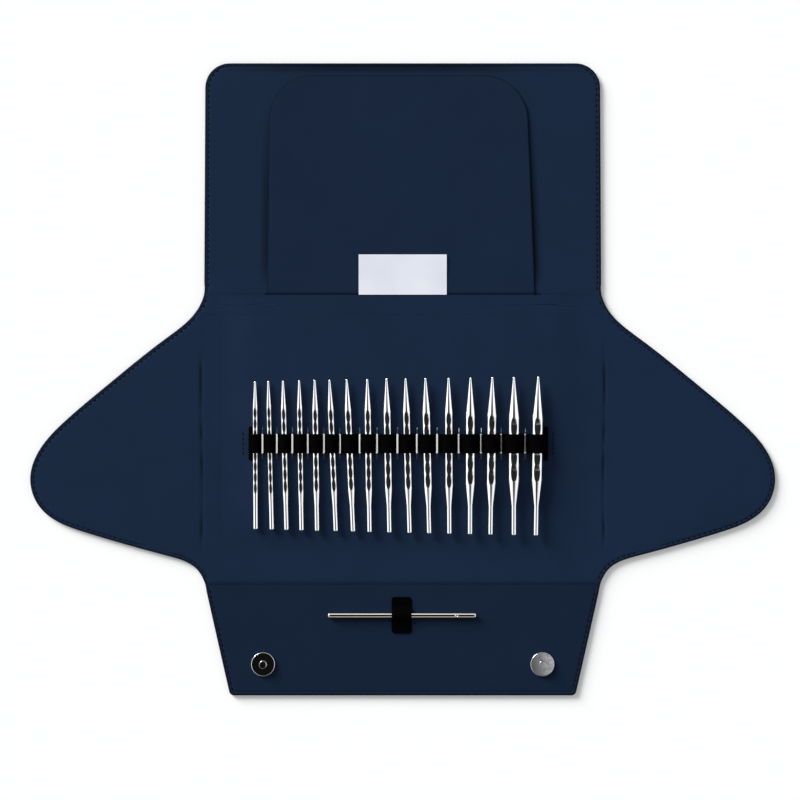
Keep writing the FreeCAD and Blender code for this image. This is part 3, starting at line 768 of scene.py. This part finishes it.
def needle(number):
    """The tip's radius along its length, cut down on four sides by scoops: a scoop's floor is a circle in the
    plane of the axis, so the radius there is at most floor / cos of the angle from the scoop's middle. The
    lesser of the two, a and b, is a b / (a^n + b^n)^(1/n) with a large n, which rounds the scoop's edge."""
    width, length = needle_width[number], needle_length[number]
    thick = (width - needle_width[0]) / (needle_width[-1] - needle_width[0])
    r = width / 2
    slim = min(shank_radius, r)
    low = (0.18 + 0.09 * thick) * length
    high = (0.76 - 0.11 * thick) * length
    cone_end = high + (0.08 + 0.09 * thick) * length
    blunt = point_radius * (1 - np.cos(np.linspace(0, np.pi / 2, 7)))
    s = np.concatenate([blunt, np.linspace(point_radius, length, 300)[1:]])
    radius = np.interp(s, [point_radius, low, high, cone_end, length - shank_edge, length],
                       [point_radius, r, r, slim, slim, slim - shank_edge])
    ball = np.sqrt(np.maximum(0, point_radius ** 2 - (point_radius - s) ** 2))
    radius = np.where(s < point_radius, ball, radius)
    rows = round((high - low) / (7 + 2 * thick))
    pitch = (high - low) / rows
    depth = (0.2 - 0.04 * thick) * r
    chord = (1.0 + 0.35 * thick) * pitch
    bend = (chord ** 2 / 4 + depth ** 2) / (2 * depth)
    row = np.clip(np.floor((s - low) / pitch), 0, rows - 1)
    off = np.clip(s - low - (row + 0.5) * pitch, -pitch, pitch)
    floor = r + bend - depth - np.sqrt(bend ** 2 - off ** 2)
    turn = np.linspace(0, 2 * np.pi, 64, endpoint=False)
    near = np.abs((turn + np.pi / 4) % (np.pi / 2) - np.pi / 4)
    round_wall = radius[:, None] + 0 * near
    scoop = floor[:, None] / np.cos(near)
    powers = round_wall ** scoop_sharpness + scoop ** scoop_sharpness
    wall = round_wall * scoop / powers ** (1 / scoop_sharpness)
    wall = np.concatenate([wall, 0 * wall[:1]])
    s = np.append(s, length)[:, None]
    lean = needle_lean[number]
    way_x, way_y = np.array([lean, -1.0]) / math.hypot(lean, 1)
    start_x = needle_place[number] - lean * (needle_point[number] - band_y)
    side = wall * np.cos(turn)
    return np.stack([start_x + way_x * s - way_y * side, needle_point[number] + way_y * s + way_x * side,
                     core_top + needle_lift + r + wall * np.sin(turn)], axis=-1)


needle_chrome = chrome_finish()
for number in range(len(needle_width)):
    name = "%02d" % (number + 1)
    tip = surface("turned_tip_" + name, needle(number), needle_chrome)
    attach(tip, "needle_" + name)
    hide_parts("needle_tip_" + name)

# Loop of the connector rod
# A short piece of the same elastic, sewn flat to the bottom flap at both ends and arched over the rod.
rod_y = -114.1
loop_left = -7.2
loop_width = 13.0
loop_half = 12.0
loop_half_thick = 0.36
loop_foot = 5.2
loop_corner = 2.4
arch_height = 1.4
arch_radius = 2.3
arch = over(rod_y, arch_height, arch_radius, rod_y - loop_foot, rod_y + loop_foot)
arch = np.vstack([[rod_y - loop_half, 0.0], arch, [rod_y + loop_half, 0.0]])
loop_path, gone = eased(arch, 0.3, 3)
grid = ribbon(loop_path + [0, panel_top + loop_half_thick], 0.0, loop_width / 2, loop_half_thick,
              band_square, band_columns)[0]
inside = np.clip((loop_half - np.abs(grid[..., 0] - rod_y)) / loop_corner, 0, 1)
narrow = 1 - loop_corner / (loop_width / 2) * (1 - np.sqrt(1 - (1 - inside) ** 2))
across = grid[..., 1] * narrow
grid = np.stack([loop_left + loop_width / 2 + across, grid[..., 0], grid[..., 2]], axis=-1)
along = np.repeat(np.pad(gone, 1, "edge"), band_columns)
rod_loop = surface("rod_band", grid, black_elastic, {"along": along, "across": across})
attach(rod_loop, "bottom_flap")
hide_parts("rod_loop")

# Connector rod
# A slim bar with rounded ends and a cross hole, of warm bright metal, which tightens the cable joints.
rod_left = -48.6
rod_length = 96.2
rod_radius = 1.6
rod_axis = 4.4
rod_hole = 35.2
rod_rows = 70
end_round = 0.9


def rod_finish():
    """Warm plated metal with fine lines along the bar."""
    made, start, shader = finish("rod_metal", Metallic=1.0)
    place = start.put("TexCoord", {}, {}, out=3)
    stretched = start.put("VectorMath", {"operation": "MULTIPLY"}, {0: place, 1: (0.05, 1.0, 1.0)})
    drawn = stretched.noise(2400.0, 2.0)
    drawn.mix((0.80, 0.70, 0.58, 1.0), (0.93, 0.86, 0.77, 1.0)).to(shader, "Base Color")
    (0.05 + drawn * 0.04).to(shader, "Roughness")
    return made


def turned(line, places, columns):
    """A line of radius and height turned round an upright axis at each place."""
    turn = np.linspace(0, 2 * np.pi, columns, endpoint=False)
    return np.stack([np.stack([x + line[:, :1] * np.cos(turn), y + line[:, :1] * np.sin(turn),
                               line[:, 1:] + 0 * turn], axis=-1) for x, y in places])


def bore(piece, line, places, columns):
    """Cuts turned holes into a piece."""
    drill = surface("drill", turned(line, places, columns), piece.data.materials[0])
    cut = piece.modifiers.new("bore", "BOOLEAN")
    cut.object = drill
    cut.operation = "DIFFERENCE"
    cut.solver = "EXACT"
    bpy.context.view_layer.update()
    made = bpy.data.meshes.new_from_object(piece.evaluated_get(bpy.context.evaluated_depsgraph_get()))
    piece.modifiers.clear()
    piece.data = made
    bpy.data.objects.remove(drill)


turn = np.linspace(0, np.pi / 2, 8)
end_in = end_round * (1 - np.cos(turn))
end_radius = rod_radius - end_round + end_round * np.sin(turn)
bar = np.linspace(2, rod_length - 2, rod_rows)
rod_s = np.concatenate([[0.0], end_in, bar, rod_length - end_in[::-1], [rod_length]])[:, None]
rod_r = np.concatenate([[0.0], end_radius, np.full(rod_rows, rod_radius), end_radius[::-1], [0.0]])[:, None]
turn = np.linspace(0, 2 * np.pi, 64, endpoint=False)
grid = np.stack([rod_left + rod_s + 0 * turn, rod_y + rod_r * np.cos(turn),
                 rod_axis + rod_r * np.sin(turn)], axis=-1)
rod = surface("turned_rod", grid, rod_finish())
hole_line = np.array([(0, 2.0), (0.6, 2.0), (0.6, 7.0), (0, 7.0)])
bore(rod, hole_line, [(rod_hole, rod_y)], 24)
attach(rod, "rod")
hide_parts("connector_rod")

# Magnetic snaps
# Nickel-plated studs with a rounded rim, a flat face and a centre pin, clenched through the bottom flap.
# Their sockets, with a ring magnet behind each, are let into the outside of the top flap.
snap_places = ((-90.7, -145.9), (90.7, -145.9))
socket_places = ((-90.7, 194.8), (90.7, 194.8))
stud_line = np.array([
    (0, 2.55), (6.9, 2.55), (7.5, 2.62), (7.75, 2.95), (7.75, 4.1), (7.7, 4.28), (7.58, 4.41), (7.45, 4.47),
    (7.3, 4.5), (7.2, 4.5), (7.0, 4.5), (3.2, 4.5), (2.6, 4.5), (2.4, 4.5), (2.32, 4.53), (2.3, 4.6),
    (2.3, 8.15), (2.28, 8.23), (2.22, 8.28), (2.15, 8.3), (2.1, 8.3), (2.0, 8.3), (0, 8.3)])
well_line = np.array([(0, -1.0), (7.8, -1.0), (7.8, 1.84), (0, 1.84)])


def nickel_finish(name, pale, dark, rough):
    """Plated metal with faint polishing scratches and cloudy spots."""
    made, start, shader = finish(name, Metallic=1.0)
    place = start.put("TexCoord", {}, {}, out=3)
    darker_share = place.noise(420.0, 3.0)
    darker_share.step(0.35, 0.65).mix(pale, dark).to(shader, "Base Color")
    (rough + darker_share * 0.06).to(shader, "Roughness")
    return made


snap_nickel = nickel_finish("snap_nickel", (0.70, 0.69, 0.71, 1.0), (0.60, 0.59, 0.61, 1.0), 0.03)
studs = surface("turned_studs", turned(stud_line, snap_places, 72), snap_nickel)
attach(studs, "bottom_flap")
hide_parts("snap_studs")
dress(snap_nickel, "snap_sockets", "snap_socket_plates", "snap_stud_washers")
dress(nickel_finish("magnet_iron", (0.10, 0.10, 0.105, 1.0), (0.06, 0.06, 0.062, 1.0), 0.45), "snap_magnets")
bore(panels["top_flap"], well_line, socket_places, 96)

# Floor, light and camera
# A pale table top under soft daylight from the upper left; the camera looks straight down at the open case.
floor_half = 3.0
floor_level = -0.0001
floor_mesh = bpy.data.meshes.new("floor")
floor_corners = [(x * floor_half, y * floor_half, floor_level)
                 for x, y in ((-1, -1), (1, -1), (1, 1), (-1, 1))]
floor_mesh.from_pydata(floor_corners, [], [(0, 1, 2, 3)])
floor = bpy.data.objects.new("floor", floor_mesh)
bpy.context.scene.collection.objects.link(floor)
table, start, shader = finish("table_white", Roughness=0.9, Specular_IOR_Level=0.0)
shader.inputs["Base Color"].default_value = (0.97, 0.97, 0.97, 1.0)
sees = start.put("LightPath", {}, {}, out=0)
mirror = start.put("LightPath", {}, {}, out=3)
glow = start.put("Emission", {}, {"Color": (1, 1, 1, 1), "Strength": 1.0})
body_shade = Wire(table.node_tree, shader.outputs[0])
lit = start.put("MixShader", {}, {0: sees.math("MAXIMUM", sees, mirror) * 0.1, 1: body_shade, 2: glow})
table.node_tree.links.new(lit.socket, table.node_tree.nodes["Material Output"].inputs["Surface"])
floor_mesh.materials.append(table)

# The sky lights the case evenly. Polished metal mirrors a bright room instead, with a dark gap overhead and a
# small bright card low on the right.
gap_wide = 0.42
gap_long = 0.75
world = bpy.data.worlds.new("room")
bpy.context.scene.world = world
world.use_nodes = True
air = Wire(world.node_tree)
way = air.put("TexCoord", {}, {}, out=0)
east, north, height = (air.put("SeparateXYZ", {}, {0: way}, out=number) for number in range(3))
gap = (east * east / gap_wide ** 2 + north * north / gap_long ** 2).step(0.64, 1.0)
gap = gap.math("MAXIMUM", gap, 1.0 - height.step(0.0, 0.2))
low_card = (east + north * 0.3).step(0.0262, 0.0308) * (1.0 - east.step(0.2, 0.3))
low_card = low_card * (1.0 - north.step(-0.110, -0.103)) * north.step(-0.3, -0.2)
gap = gap.math("MAXIMUM", gap, low_card * 1.1)
background = world.node_tree.nodes["Background"]
background.inputs["Color"].default_value = (0.97, 0.985, 1.0, 1.0)
boxes = (0.8 + east * east * 0.7 + north * 0.42 - east * 0.16) * (0.01 + gap * 0.99)
sees = air.put("LightPath", {}, {}, out=0)
mirror = air.put("LightPath", {}, {}, out=3)
(sees + mirror * boxes + (1.0 - sees - mirror) * 0.44).to(background, "Strength")

window = bpy.data.lights.new("window", "SUN")
window.energy = 5.0
window.angle = math.radians(30)
window_place = bpy.data.objects.new("window", window)
window_place.rotation_euler = (math.radians(-41), math.radians(-60), 0)
bpy.context.scene.collection.objects.link(window_place)

view_width = 520.0
lens = bpy.data.cameras.new("camera")
lens.lens = 100
lens.sensor_width = 36
lens.clip_start = 0.05
camera = bpy.data.objects.new("camera", lens)
camera_height = panel_top + view_width * lens.lens / lens.sensor_width
camera.location = (-1.755 * mm, 25.7 * mm, camera_height * mm)
bpy.context.scene.collection.objects.link(camera)
bpy.context.scene.camera = camera
bpy.context.scene.view_settings.view_transform = "Standard"
